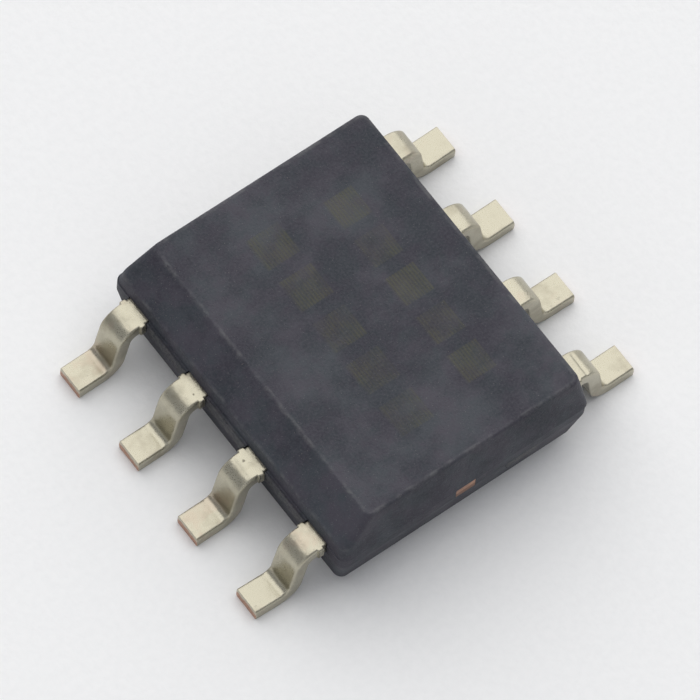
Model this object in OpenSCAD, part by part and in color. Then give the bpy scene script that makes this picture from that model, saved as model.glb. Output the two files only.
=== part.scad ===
// Integrated circuit in an eight-lead small-outline package with gull-wing leads.
// The origin lies on the seating plane, under the middle of the body. +X runs across the
// two rows of leads, +Y along the body towards the lead 1 end, and +Z up. Millimetres.
// Leads 1 to 4 run down the -X side from +Y to -Y, and leads 5 to 8 come back up the +X side.

/* [Moulded body] */
// Width of the body at its parting line, along X
body_width = 3.90; // [3.70:0.05:5.00]
// Distance from the middle of an outer lead to the end of the body, along Y
end_margin = 0.545; // [0.480:0.005:0.800]
// Height of the body, from its underside to its top face
body_height = 1.45; // [1.20:0.01:2.00]
// Gap between the underside of the body and the seating plane
standoff = 0.15; // [0.05:0.01:0.25]
// Draft of the two long side walls, in degrees
side_draft = 9; // [2:1:14]
// Draft of the two end walls, in degrees
end_draft = 12; // [2:1:16]
// Radius of the four upright corners
corner_radius = 0.12; // [0.06:0.01:0.25]
// Radius of the rims of the top and bottom faces
rim_radius = 0.04; // [0.02:0.01:0.05]
// Height and width of the 45 degree bevel that marks the lead 1 side
bevel = 0.42; // [0.20:0.01:0.50]

/* [Marks of the mould] */
// Diameter of the two ejector-pin marks under the body
ejector_diameter = 0.90; // [0.50:0.05:1.20]
// Depth of the ejector-pin marks
ejector_depth = 0.03; // [0.02:0.01:0.05]
// Distance between the ejector-pin marks, along Y
ejector_spacing = 2.40; // [1.60:0.10:2.80]
// Width of the broken-off gate on the -Y end wall
gate_width = 0.50; // [0.30:0.05:0.80]
// Height of the broken-off gate, down from the parting line
gate_height = 0.16; // [0.10:0.01:0.25]
// Distance of the gate from the middle of the end wall, towards +X
gate_offset = 0.90; // [0.60:0.05:1.10]
// Resin left standing out between the leads, up to the cut dam bar
resin_ledge = 0.05; // [0.02:0.01:0.08]

/* [Leads] */
// Distance between neighbouring leads
lead_pitch = 1.27; // [1.00:0.01:1.30]
// Width of a lead outside the body
lead_width = 0.42; // [0.31:0.01:0.51]
// Thickness of the lead frame
lead_thickness = 0.20; // [0.15:0.01:0.25]
// Distance from the side of the body to the toes of the leads
lead_reach = 1.05; // [0.90:0.01:1.40]
// Flat shoulder between the body and the first bend
shoulder_length = 0.14; // [0.14:0.01:0.25]
// Inside radius of both bends of a lead
bend_radius = 0.13; // [0.07:0.01:0.18]
// Slope of the leg between the bends, in degrees from level
leg_slope = 80; // [65:1:88]
// Length, along the lead, of the stub that the cut dam bar leaves
stub_length = 0.08; // [0.04:0.01:0.09]
// How far the stub stands out of each side of the lead
stub_width = 0.03; // [0.01:0.01:0.06]

/* [Fingers inside the body] */
// How far the fingers reach into the body from its side
finger_reach = 0.55; // [0.48:0.01:0.70]
// Gap between the finger tips and the paddle
finger_gap = 0.25; // [0.15:0.01:0.35]
// Length of the wide head that locks a finger in the resin
head_length = 0.32; // [0.24:0.01:0.36]
// Width of the head
head_width = 0.62; // [0.55:0.01:0.75]
// How far the heads of the four corner fingers lean towards the middle of the body
corner_head_lean = 0.14; // [0.00:0.01:0.18]
// Cut corners of the heads
head_chamfer = 0.08; // [0.03:0.01:0.11]

/* [Paddle and tie bars] */
// How far the paddle is pressed down below the leads
paddle_downset = 0.20; // [0.10:0.01:0.25]
// Width of the tie bars that held the paddle in its frame
tie_bar_width = 0.30; // [0.20:0.01:0.50]
// Length of a tie bar, from the paddle to the end of the body
tie_bar_length = 0.90; // [0.60:0.05:1.10]
// Length, along Y, of the sloping part of a tie bar
tie_bar_ramp = 0.25; // [0.15:0.01:0.40]

/* [Die and bond wires] */
// Width of the silicon die, along X
die_width = 1.60; // [1.20:0.05:1.80]
// Length of the silicon die, along Y
die_length = 1.90; // [1.60:0.05:2.30]
// Thickness of the silicon die
die_thickness = 0.28; // [0.15:0.01:0.30]
// Thickness of the glue under the die
attach_thickness = 0.025; // [0.015:0.005:0.040]
// How far the glue shows round the die
attach_margin = 0.05; // [0.02:0.01:0.10]
// Diameter of the bond wires
wire_diameter = 0.03; // [0.025:0.005:0.050]
// Diameter of the squashed ball that bonds a wire to the die
ball_diameter = 0.08; // [0.07:0.01:0.10]
// Height of the squashed ball
ball_height = 0.02; // [0.01:0.01:0.03]
// Straight rise of a wire, from the die to the start of its loop
wire_rise = 0.06; // [0.04:0.01:0.08]
// Radius of the loop at the top of a wire
loop_radius = 0.10; // [0.06:0.01:0.12]
// Diameter of the flat stitch that bonds a wire to its finger
stitch_diameter = 0.10; // [0.08:0.01:0.12]
// Height of the stitch
stitch_height = 0.012; // [0.010:0.002:0.020]
// Distance from a finger's tip to where its wire comes down
stitch_inset = 0.12; // [0.10:0.01:0.15]
// Distance from the edge of the die to the row of bond pads
pad_inset = 0.12; // [0.08:0.01:0.20]
// Distance between neighbouring bond pads
pad_pitch = 0.41; // [0.30:0.01:0.45]

/* [Hidden] */
$fn = 48;
hull_fn = 32;
rim_fn = 16;
leads_in_row = 4;
lead_count = 2 * leads_in_row;
numbers = [for (n = [1 : lead_count]) n];

// Heights of the main planes
body_top = standoff + body_height;
lead_level = standoff + body_height / 2;
lead_top = lead_level + lead_thickness / 2;
lead_bottom = lead_level - lead_thickness / 2;
paddle_top = lead_top - paddle_downset;
die_bottom = paddle_top + attach_thickness;
die_top = die_bottom + die_thickness;

// Walls of the body
outer_lead_y = (leads_in_row - 1) / 2 * lead_pitch;
side_x = body_width / 2;
end_y = outer_lead_y + end_margin;
bevel_foot = body_top - bevel;

// Form of a lead along its length
bend_centre = bend_radius + lead_thickness / 2;
leg_drop = lead_bottom - 2 * bend_centre * (1 - cos(leg_slope));
leg_length = leg_drop / sin(leg_slope);
foot_start = shoulder_length + 2 * bend_centre * sin(leg_slope) + leg_length * cos(leg_slope);
foot_length = lead_reach - foot_start;

// Fingers and paddle
finger_tip_x = side_x - finger_reach;
paddle_x = finger_tip_x - finger_gap;
paddle_y = end_y - tie_bar_length;
stitch_x = finger_tip_x + stitch_inset;
pad_x = die_width / 2 - pad_inset;

resin_colour = [0.12, 0.12, 0.13];
tin_colour = [0.80, 0.79, 0.74];
copper_colour = [0.78, 0.50, 0.33];
glue_colour = [0.72, 0.73, 0.75];
silicon_colour = [0.34, 0.36, 0.44];
gold_colour = [0.90, 0.72, 0.32];

// How far a drafted wall has come in at height z, from the parting band outwards
function inset(z, draft) = max(z - lead_top, lead_bottom - z, 0) * tan(draft);

// Where lead n stands in its row: 0 is the row's middle, counted before the row is turned
function row_y(n) = (n - 1) % leads_in_row * lead_pitch - outer_lead_y;
function is_corner(n) = (n - 1) % leads_in_row % (leads_in_row - 1) == 0;
function pad_y(n) = row_y(n) / lead_pitch * pad_pitch;
function head_y(n) = row_y(n) - (is_corner(n) ? sign(row_y(n)) * corner_head_lean : 0);

// Leads 1 to 4 are leads 5 to 8 turned half round
module on_its_side(n) {
    rotate([0, 0, n <= leads_in_row ? 180 : 0]) children();
}

// Corner of the moulding: a flat disc whose rim is rounded on one face
module rimmed_disc(x, y, z, up) {
    translate([x, y, z])
        mirror([0, 0, up ? 1 : 0])
            rotate_extrude($fn = hull_fn) {
                square([corner_radius - rim_radius, rim_radius]);
                translate([corner_radius - rim_radius, rim_radius])
                    intersection() {
                        circle(r = rim_radius, $fn = rim_fn);
                        translate([0, -rim_radius]) square(rim_radius);
                    }
            }
}

// The moulding before anything is cut from it: two drafted halves on a straight band, and the bevel
module moulding() {
    crown_x = side_x - inset(body_top, side_draft) - corner_radius;
    foot_x = side_x - inset(bevel_foot, side_draft) - corner_radius;
    base_x = side_x - inset(standoff, side_draft) - corner_radius;
    crown_y = end_y - inset(body_top, end_draft) - corner_radius;
    foot_y = end_y - inset(bevel_foot, end_draft) - corner_radius;
    base_y = end_y - inset(standoff, end_draft) - corner_radius;
    hull() {
        for (side = [-1, 1]) {
            rimmed_disc(crown_x, side * crown_y, body_top, true);
            rimmed_disc(bevel - foot_x, side * crown_y, body_top, true);
            rimmed_disc(-foot_x, side * foot_y, bevel_foot, true);
            for (x = [-base_x, base_x]) {
                rimmed_disc(x, side * base_y, standoff, false);
            }
            for (x = [corner_radius - side_x, side_x - corner_radius]) {
                translate([x, side * (end_y - corner_radius), lead_bottom])
                    cylinder(r = corner_radius, h = lead_thickness, $fn = hull_fn);
            }
        }
    }
}

// Resin that filled the frame's thickness as far as the dam bar, along both rows
module dam_resin() {
    translate([-side_x - resin_ledge, -outer_lead_y, lead_bottom])
        cube([body_width + 2 * resin_ledge, 2 * outer_lead_y, lead_thickness]);
}

// Stump of the gate, broken off flush with the parting band and rooted in the end wall
module gate_stump() {
    root_depth = gate_height + lead_thickness;
    translate([gate_offset - gate_width / 2, -end_y, lead_bottom - gate_height])
        cube([gate_width, root_depth, root_depth]);
}

module ejector_marks() {
    for (side = [-1, 1]) {
        translate([0, side * ejector_spacing / 2, standoff - ejector_depth])
            cylinder(d = ejector_diameter, h = 2 * ejector_depth);
    }
}

// A straight run of the lead strip along +X, its middle plane on z = 0
module strip_run(length) {
    translate([0, -lead_width / 2, -lead_thickness / 2])
        cube([length, lead_width, lead_thickness]);
}

// A bend of the strip, down for a positive turn and up for a negative one
module strip_bend(turn) {
    mirror([0, 0, turn < 0 ? 1 : 0])
        translate([0, 0, -bend_centre])
            rotate([0, -90, -90])
                rotate_extrude(angle = abs(turn))
                    translate([bend_radius, -lead_width / 2])
                        square([lead_thickness, lead_width]);
}

// Carries what follows to the far end of a bend
module after_bend(turn) {
    drop = sign(turn) * bend_centre * (1 - cos(turn));
    translate([bend_centre * sin(abs(turn)), 0, -drop])
        rotate([0, turn, 0])
            children();
}

// The strip as the press forms it. Each step is a straight run and the bend that ends it
module formed_strip(steps, index = 0) {
    length = steps[index][0];
    turn = steps[index][1];
    strip_run(length);
    if (index < len(steps) - 1) {
        translate([length, 0, 0]) {
            strip_bend(turn);
            after_bend(turn) formed_strip(steps, index + 1);
        }
    }
}

// Stubs of the dam bar on both sides of the shoulder
module dam_stubs() {
    translate([side_x + resin_ledge, -lead_width / 2 - stub_width, lead_bottom])
        cube([stub_length, lead_width + 2 * stub_width, lead_thickness]);
}

// The wide head of a finger, seen from above
module finger_head(n) {
    near = finger_tip_x;
    far = finger_tip_x + head_length;
    low = head_y(n) - head_width / 2;
    high = head_y(n) + head_width / 2;
    translate([0, 0, lead_bottom])
        linear_extrude(lead_thickness)
            polygon([
                [near + head_chamfer, low],
                [far - head_chamfer, low],
                [far, low + head_chamfer],
                [far, high - head_chamfer],
                [far - head_chamfer, high],
                [near + head_chamfer, high],
                [near, high - head_chamfer],
                [near, low + head_chamfer]
            ]);
}

// One lead: the finger in the resin, the shoulder, the leg and the foot
module lead(n) {
    strip_start = finger_tip_x + head_chamfer;
    color(tin_colour)
        on_its_side(n)
            union() {
                finger_head(n);
                translate([0, row_y(n), 0]) {
                    dam_stubs();
                    translate([strip_start, 0, lead_level])
                        formed_strip([
                            [side_x + shoulder_length - strip_start, leg_slope],
                            [leg_length, -leg_slope],
                            [foot_length, 0]
                        ]);
                }
            }
}

// Tie bar on the +Y end: down the ramp from the level of the leads to the paddle
module tie_bar() {
    ramp_end = paddle_y + tie_bar_ramp;
    translate([-tie_bar_width / 2, 0, 0])
        rotate([90, 0, 90])
            linear_extrude(tie_bar_width)
                polygon([
                    [0, paddle_top - lead_thickness],
                    [paddle_y, paddle_top - lead_thickness],
                    [ramp_end, lead_bottom],
                    [end_y, lead_bottom],
                    [end_y, lead_top],
                    [ramp_end, lead_top],
                    [paddle_y, paddle_top],
                    [0, paddle_top]
                ]);
}

// The paddle, pressed down below the leads, with a tie bar at each end
module die_paddle() {
    color(copper_colour)
        union() {
            translate([-paddle_x, -paddle_y, paddle_top - lead_thickness])
                cube([2 * paddle_x, 2 * paddle_y, lead_thickness]);
            tie_bar();
            rotate([0, 0, 180]) tie_bar();
        }
}

// The layer of silver-filled glue under the die
module die_attach() {
    glue_width = die_width + 2 * attach_margin;
    glue_length = die_length + 2 * attach_margin;
    color(glue_colour)
        translate([-glue_width / 2, -glue_length / 2, paddle_top])
            cube([glue_width, glue_length, attach_thickness]);
}

// The silicon die
module silicon_die() {
    color(silicon_colour)
        translate([-die_width / 2, -die_length / 2, die_bottom])
            cube([die_width, die_length, die_thickness]);
}

// Slope of the straight run that just touches the loop, to a thousandth of a degree, which
// keeps the end of the loop and the start of the run on one plane
function run_slope(ahead, above) =
    round(1000 * (atan2(above, ahead) + asin(loop_radius / norm([ahead, above])))) / 1000;

// A wire from its ball at the origin to the finger at [span, 0, -fall]. It rises, turns over the
// loop and runs down, and its stitch is pressed over the end of its slanting foot
module wire_run(span, fall) {
    ahead = span - loop_radius;
    slope = run_slope(ahead, wire_rise + fall);
    run = (ahead - loop_radius * sin(slope)) / cos(slope);
    overrun = wire_diameter / tan(slope);
    foot_end = span + wire_diameter / 2 / sin(slope);
    cylinder(d = ball_diameter, h = ball_height);
    cylinder(d = wire_diameter, h = wire_rise);
    translate([loop_radius, 0, wire_rise]) {
        rotate([90, 0, 180])
            rotate_extrude(angle = 90 + slope)
                translate([loop_radius, 0])
                    circle(d = wire_diameter);
        rotate([0, slope, 0])
            translate([0, 0, loop_radius])
                rotate([0, 90, 0])
                    cylinder(d = wire_diameter, h = run + overrun);
    }
    translate([foot_end, 0, -fall])
        cylinder(d = stitch_diameter, h = stitch_height);
}

// Bond wire n, cut off level with the top of its finger
module bond_wire(n) {
    along = stitch_x - pad_x;
    across = head_y(n) - pad_y(n);
    room = 2 * (side_x + end_y);
    color(gold_colour)
        on_its_side(n)
            intersection() {
                translate([pad_x, pad_y(n), die_top])
                    rotate([0, 0, atan2(across, along)])
                        wire_run(norm([along, across]), die_top - lead_top);
                translate([-room / 2, -room / 2, lead_top])
                    cube([room, room, body_height]);
            }
}

// The moulding, closed round everything that lies in it
module mould_body() {
    color(resin_colour)
        difference() {
            union() {
                moulding();
                dam_resin();
                gate_stump();
            }
            ejector_marks();
            for (n = numbers) {
                lead(n);
                bond_wire(n);
            }
            die_paddle();
            die_attach();
            silicon_die();
        }
}

mould_body();
for (n = numbers) {
    lead(n);
    bond_wire(n);
}
die_paddle();
die_attach();
silicon_die();
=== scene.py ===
# %% [markdown]
# # A small-outline chip with eight gull-wing leads
#
# The real thing is 6 mm across. A black resin body is moulded round a stamped metal frame, the
# frame's rails are cut away, and what stands out of the body is bent into eight leads. At this
# size the finish is everything: the matt skin that a spark-eroded mould leaves, the grain of
# tin plating, and the edges that punches and dies leave behind.
#
# The construction comes from the packed CAD model, which is loaded as a fixed frame. The places
# below come from the boxes of its nodes and from the package's nominal sizes. The resin body
# and the leads are built again with their finish. The nodes inside the resin stay as they are,
# and get materials.

# %% Load the frame
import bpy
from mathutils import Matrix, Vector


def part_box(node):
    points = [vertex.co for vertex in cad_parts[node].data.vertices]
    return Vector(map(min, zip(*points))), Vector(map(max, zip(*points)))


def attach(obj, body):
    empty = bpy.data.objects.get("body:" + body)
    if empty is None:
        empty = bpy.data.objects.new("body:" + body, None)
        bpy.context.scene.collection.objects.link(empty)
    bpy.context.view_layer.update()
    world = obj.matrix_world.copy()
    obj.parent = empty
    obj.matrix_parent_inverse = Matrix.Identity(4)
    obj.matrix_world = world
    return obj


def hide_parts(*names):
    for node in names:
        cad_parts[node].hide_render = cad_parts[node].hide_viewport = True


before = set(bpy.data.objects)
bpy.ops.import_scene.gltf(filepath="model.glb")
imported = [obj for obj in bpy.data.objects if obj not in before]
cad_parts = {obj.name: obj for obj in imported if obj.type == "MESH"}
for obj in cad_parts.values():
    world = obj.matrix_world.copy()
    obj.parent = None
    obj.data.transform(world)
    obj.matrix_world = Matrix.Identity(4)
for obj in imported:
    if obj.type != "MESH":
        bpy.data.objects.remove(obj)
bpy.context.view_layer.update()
print("CAD nodes:", len(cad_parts))

# %% [markdown]
# ## Working in millimetres
#
# Blender's mesh tools have small fixed thresholds, and this object's details are a hundredth of
# a millimetre. In metres they would come close to those thresholds. So each mesh is built in
# millimetres, and only at the end is it scaled down to the metres of the frame.

# %% Modules and the millimetre
import math
import random
from types import SimpleNamespace

import bmesh
import bpy
import numpy as np
from mathutils import Matrix, Vector, noise

MM = 0.001


def box_in_mm(node):
    """The lowest and the highest corner of a CAD node, in millimetres."""
    low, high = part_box(node)
    return low / MM, high / MM


def object_from_mm(name, mesh):
    """Scales a mesh built in millimetres to metres, and puts it in the scene."""
    mesh.transform(Matrix.Scale(MM, 4))
    piece = bpy.data.objects.new(name, mesh)
    bpy.context.scene.collection.objects.link(piece)
    return piece


# %% [markdown]
# ## Sizes read from the frame
#
# The body's box gives its ends, its top and the gap under it. A lead's box gives the level of
# the metal frame, the toe, and where the finger inside the body begins. The few sizes that a
# box can't tell, such as the thickness of the strip, are the nominal ones of the package.

# %% Sizes of the body and the frame, in millimetres
body_low, body_high = box_in_mm("mould_body")
lead_low, lead_high = box_in_mm("lead_5")

strip_thickness = 0.20
strip_width = 0.42
pitch = 1.27
row_ys = [(i - 1.5) * pitch for i in range(4)]
resin_ledge = 0.05
side_x = body_high.x - resin_ledge
end_y = body_high.y
base_z = body_low.z
top_z = body_high.z
lead_top = lead_high.z
lead_bottom = lead_top - strip_thickness
bevel = 0.42
bevel_foot = top_z - bevel
print("body", round(2 * side_x, 3), "by", round(2 * end_y, 3), "mm, top at", round(top_z, 3))

# %% [markdown]
# ## A wall as a profile
#
# A moulded body has draft: its walls lean in above and below the parting band, so that it
# drops out of the mould, and no edge of it is sharp. A box with a bevel modifier would give one
# radius everywhere. Here each wall is drawn once as a profile of reach and height, and each
# corner of the profile gets its own true round. It is the round that catches the light.

# %% Round the corners of a profile
def rounded_profile(corners, radii, step_degrees=15):
    """A polyline in which each inner corner is an arc. corners are (distance, height)."""
    points = [Vector(corners[0])]
    for before, corner, after, radius in zip(corners, corners[1:], corners[2:], radii):
        corner = Vector(corner)
        back = (Vector(before) - corner).normalized()
        ahead = (Vector(after) - corner).normalized()
        half = back.angle(ahead) / 2
        centre = corner + (back + ahead).normalized() * radius / math.sin(half)
        first = corner + back * radius / math.tan(half) - centre
        turn = first.angle_signed(corner + ahead * radius / math.tan(half) - centre)
        steps = max(2, math.ceil(abs(math.degrees(turn)) / step_degrees))
        for i in range(steps + 1):
            points.append(centre + Matrix.Rotation(-turn * i / steps, 2) @ first)
    points.append(Vector(corners[-1]))
    return np.array(points)


right_angle = [(0, 0), (1, 0), (1, 1)]
print("a rounded right angle has", len(rounded_profile(right_angle, [0.1])), "points")

# %% [markdown]
# ## Draft, parting band and bevel
#
# The two halves of the mould close on the metal frame, so an upright band as high as the frame
# is thick runs round the body, with a leaning wall above and below it. The wall by leads 1 to 4
# also has a wide bevel at its top, which tells where lead 1 is. It could be cut off
# afterwards. As two more corners of the profile it gets rounds of its own.

# %% The walls
side_lean = math.tan(math.radians(9))
end_lean = math.tan(math.radians(12))
rim = 0.04
band_edge = 0.014
bevel_edge = 0.03
over_face = 1.0


def wall(reach, lean):
    """Corners of a plain wall: under the body, up both drafted faces, and onto the top."""
    return [
        (reach - over_face, base_z),
        (reach - (lead_bottom - base_z) * lean, base_z),
        (reach, lead_bottom),
        (reach, lead_top),
        (reach - (top_z - lead_top) * lean, top_z),
        (reach - over_face, top_z),
    ]


bevel_x = side_x - (bevel_foot - lead_top) * side_lean
bevelled_wall = wall(side_x, side_lean)
bevelled_wall[4:5] = [(bevel_x, bevel_foot), (bevel_x - bevel, top_z)]
plain_radii = (rim, band_edge, band_edge, rim)
bevel_radii = (rim, band_edge, band_edge, bevel_edge, rim)

profiles = {
    "right": rounded_profile(wall(side_x, side_lean), plain_radii),
    "left": rounded_profile(bevelled_wall, bevel_radii),
    "end": rounded_profile(wall(end_y, end_lean), plain_radii),
}
sharp_end = np.array(wall(end_y, end_lean))
print("profile points:", {name: len(points) for name, points in profiles.items()})

# %% [markdown]
# ## The body as a stack of rings
#
# The body is cut into level rings, each a rectangle with rounded corners whose four sides come
# from the profiles. The rings lie close together where a profile turns, and further apart on
# the flat walls. That puts the faces where the shape needs them.
#
# The two halves of a mould never close exactly over one another. The upper half is shifted by
# about ten microns, which leaves a fine step right round the body at the parting line.

# %% Where the rings lie
corner_radius = 0.12
closest_rings = 0.0008
widest_gap = 0.03
mould_shift = Vector((0.012, -0.010, 0))
step_half = 0.0008


def sizes_at(z):
    """Reach of the right, left and end walls at a height, and the corner radius there."""
    reach = {n: float(np.interp(z, p[1:-1, 1], p[1:-1, 0])) for n, p in profiles.items()}
    straight = float(np.interp(z, sharp_end[1:-1, 1], sharp_end[1:-1, 0]))
    reach["corner"] = corner_radius - (straight - reach["end"])
    return reach


heights = np.unique(np.concatenate([p[1:-1, 1] for p in profiles.values()]).round(4))
levels = [heights[0]]
for z in heights[1:]:
    gap = z - levels[-1]
    if gap > closest_rings:
        levels += list(np.linspace(levels[-1], z, math.ceil(gap / widest_gap) + 1)[1:])
levels[-1] = heights[-1]
lower_levels = [z for z in levels if z < lead_top - 2 * step_half] + [lead_top - step_half]
upper_levels = [lead_top + step_half] + [z for z in levels if z > lead_top + 2 * step_half]
levels = lower_levels + upper_levels
print("rings:", len(levels))

# %% [markdown]
# ## Nicks along the edges
#
# The resin is full of ground silica, and it is brittle. Grains break out of the edges when the
# chip is pushed out of the mould and rattles down a feeder. Smooth noise, used only above a
# threshold, gives a few shallow nicks with long clean stretches between them. How near a point
# lies to an edge is also kept as an attribute, so that the material can pale the edges, partly
# as wear and partly as a painted highlight along the rims.

# %% Nearness to an edge, and nicks
nick_reach = 0.035
nick_depth = 0.016
chips_per_mm = 6.1
chips_from = Vector((3.1, 0.7, 9.2))
wear_per_mm = 2.3
ragged_per_mm = 13


def smooth_step(low, high, value):
    """0 up to low and 1 from high on, with a smooth climb between them."""
    t = min(max((value - low) / (high - low), 0), 1)
    return t * t * (3 - 2 * t)


def edge_nearness(point, left, inset=0.0):
    """1 on an edge of the body, 0 from nick_reach away. inset is the way in over a level face."""

    def near(height):
        return 1 - smooth_step(0.2, 1, (abs(point.z - height) + inset) / nick_reach)

    on_left_wall = 1 - smooth_step(0, corner_radius, point.x - left)
    return max(near(base_z), near(top_z), near(bevel_foot) * on_left_wall)


def nick(point):
    """How deep an edge is broken at a point on it."""
    chipped = smooth_step(0.30, 0.50, noise.noise(point * chips_per_mm + chips_from))
    worn = 0.12 * smooth_step(-0.2, 0.4, noise.noise(point * wear_per_mm))
    ragged = 0.75 + 0.5 * noise.noise(point * ragged_per_mm)
    return nick_depth * (chipped * ragged + worn)


print("nicks: about", nick_depth, "mm deep, within", nick_reach, "mm of an edge")

# %% [markdown]
# ## One ring
#
# A ring could be a curve that Blender rounds, but its points would then fall differently at
# each height. Here every ring has the same points in the same order: an arc at each corner, and
# a straight run to the next one. So the rings can be joined point to point. Each point is also
# pushed in towards the middle by the nick at its place.

# %% The points of a ring
corner_steps = 8
side_steps = 112
smallest_radius = 0.02


def ring(z, inset=0.0):
    """Points of one level ring, anticlockwise seen from above, each with its nearness to an edge."""
    reach = sizes_at(z)
    radius = max(reach["corner"] - inset, smallest_radius)
    right, left, end = reach["right"] - inset, inset - reach["left"], reach["end"] - inset
    centres = [
        Vector((right - radius, end - radius, z)),
        Vector((left + radius, end - radius, z)),
        Vector((left + radius, radius - end, z)),
        Vector((right - radius, radius - end, z)),
    ]
    points = []
    for quarter, centre in enumerate(centres):
        arc = []
        for i in range(corner_steps + 1):
            angle = math.radians(90 * (quarter + i / corner_steps))
            arc.append(centre + radius * Vector((math.cos(angle), math.sin(angle), 0)))
        turn = Matrix.Rotation(math.radians(90 * (quarter + 1)), 3, "Z")
        next_arc = centres[(quarter + 1) % 4] + turn @ Vector((radius, 0, 0))
        points += arc
        points += [arc[-1].lerp(next_arc, i / side_steps) for i in range(1, side_steps)]
    middle = Vector(((left + right) / 2, 0, z))
    near = [edge_nearness(p, left, inset) for p in points]
    shift = mould_shift if z > lead_top else Vector()
    return [(p + (middle - p).normalized() * nick(p) * n + shift, n) for p, n in zip(points, near)]


print("points in a ring:", len(ring(levels[0])))

# %% [markdown]
# ## The skin of the moulding
#
# Each ring is joined to the next by a band of four-sided faces, and the first and the last are
# filled. A loft like this could also be made with bridged edge loops, but a loop in code always
# pairs the same points. A few more rings lie just inside the edges of the top and the
# underside, so that nicks and wear fade out over the level faces too.

# %% Build the moulding's skin
cap_insets = (0.012, 0.024, 0.036, 0.050)


def skin_rings(mesh, rings):
    """Joins each ring of vertices to the next by four-sided faces, and returns the faces."""
    count = len(rings[0])
    faces = []
    for lower, upper in zip(rings, rings[1:]):
        for i in range(count):
            j = (i + 1) % count
            faces.append(mesh.faces.new((lower[i], lower[j], upper[j], upper[i])))
    return faces


def moulding_mesh():
    mesh = bmesh.new()
    nearness = mesh.verts.layers.float.new("edge_nearness")
    courses = [(base_z, inset) for inset in reversed(cap_insets)]
    courses += [(z, 0.0) for z in levels]
    courses += [(top_z, inset) for inset in cap_insets]
    rings = []
    for z, inset in courses:
        rings.append([])
        for point, near in ring(z, inset):
            vertex = mesh.verts.new(point)
            vertex[nearness] = near
            rings[-1].append(vertex)
    skin_rings(mesh, rings)
    mesh.faces.new(reversed(rings[0]))
    mesh.faces.new(rings[-1])
    return mesh


body_bmesh = moulding_mesh()
print("moulding:", len(body_bmesh.verts), "points,", round(body_bmesh.calc_volume(), 2), "mm3")

# %% [markdown]
# ## Rough blocks for what is cut and broken
#
# Some of the resin ends in a torn face: the ledges between the leads, and the gate where the
# resin ran in. A displace modifier would move every face alike. Here a box gets soft edges and
# fine slices, and then only its outer face is pushed in by noise at two scales, while a vector
# noise can make its outline wander. Blender takes the offsets of that one from the time of
# day, unless a seed is set, and the seed makes the block come out the same in every run.

# %% A block with one rough face
wander_seed = 21


def plain_box(low, high):
    """A box between two corners."""
    low, high = Vector(low), Vector(high)
    block = bmesh.new()
    bmesh.ops.create_cube(block, size=1)
    for v in block.verts:
        v.co = Vector((low[k] if v.co[k] < 0 else high[k]) for k in range(3))
    return block


def slice_finely(block, low, size, cell):
    """Cuts a box across each axis, so that its faces are about cell millimetres wide."""
    for axis in range(3):
        slices = int(size[axis] / cell)
        for i in range(1, slices):
            normal = [0, 0, 0]
            normal[axis] = 1
            at = low.copy()
            at[axis] += i * size[axis] / slices
            everything = block.verts[:] + block.edges[:] + block.faces[:]
            bmesh.ops.bisect_plane(block, geom=everything, plane_co=at, plane_no=normal)


def rough_block(low, high, outward, roughness, seed, wander=0.0, soften=0.008, cell=0.03):
    """A box whose outer face is pushed in by up to roughness, and whose outline wanders."""
    noise.seed_set(wander_seed)
    low, high, outward = Vector(low), Vector(high), Vector(outward)
    size = high - low
    block = plain_box((0, 0, 0), size)
    bmesh.ops.translate(block, verts=block.verts[:], vec=low)
    bmesh.ops.bevel(block, geom=block.edges[:], offset=soften, segments=2, affect="EDGES", profile=0.5)
    slice_finely(block, low, size, cell)
    face_at = outward.dot(high) if max(outward) > 0 else outward.dot(low)
    offset = Vector((seed * 5.7, seed * 2.3, seed * 1.1))
    for v in block.verts:
        near = 1 - smooth_step(0, 2 * soften, abs(outward.dot(v.co) - face_at))
        coarse = noise.noise(v.co * 9 + offset)
        fine = noise.noise(v.co * 33 + offset)
        sideways = noise.noise_vector(v.co * 11 + offset) + 0.25 * noise.noise_vector(v.co * 29 + offset)
        sideways -= outward * sideways.dot(outward)
        v.co -= outward * roughness * near * (0.5 + 0.4 * coarse + 0.5 * fine)
        v.co += sideways * wander
    return block


# %% [markdown]
# ## The ledges between the leads, and the stump of the gate
#
# Resin fills the frame's thickness as far as the dam bars, and a punch trims it to a ragged
# ledge between the leads. The gate is snapped off, which leaves a low, wandering scar on one
# end wall. All seven blocks reach into the body, so that the union later has something to
# bite on, and each has its own seed, because no two breaks are alike.

# %% Where resin is added
ledge_root = 0.12
ledge_clearance = 0.001
ledge_roughness = 0.024
ledge_cell = 0.018
gate_x = (0.65, 1.15)
gate_height = 0.16
gate_root = 0.3
gate_overlap = 0.06
gate_seed = 17

added = []
for side in (-1, 1):
    x_low, x_high = sorted((side * (side_x - ledge_root), side * (side_x + resin_ledge)))
    for i in range(3):
        added.append(rough_block(
            (x_low, row_ys[i] + strip_width / 2 + ledge_clearance, lead_bottom),
            (x_high, row_ys[i + 1] - strip_width / 2 - ledge_clearance, lead_top),
            (side, 0, 0), ledge_roughness, seed=3 * side + i + 5, cell=ledge_cell,
        ))

added.append(rough_block(
    (gate_x[0], -end_y, lead_bottom - gate_height),
    (gate_x[1], -end_y + gate_root, lead_bottom + gate_overlap),
    (0, -1, 0), 0.014, gate_seed, wander=0.038,
))
print("rough blocks added:", len(added))

# %% [markdown]
# ## Marks of the ejector pins
#
# The pins that push the chip out of the mould leave two shallow round dishes underneath. They
# could be modelled into the underside, but its faces would have to be laid out round them. A
# tool to cut them with is simpler: a short plug, lofted from four circles, so that the mouth
# of the dish is soft.

# %% A tool for a dish
dish_flare = 0.03
dish_start = 0.05
mouth_round = 0.006
dish_draft = 0.004


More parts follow.
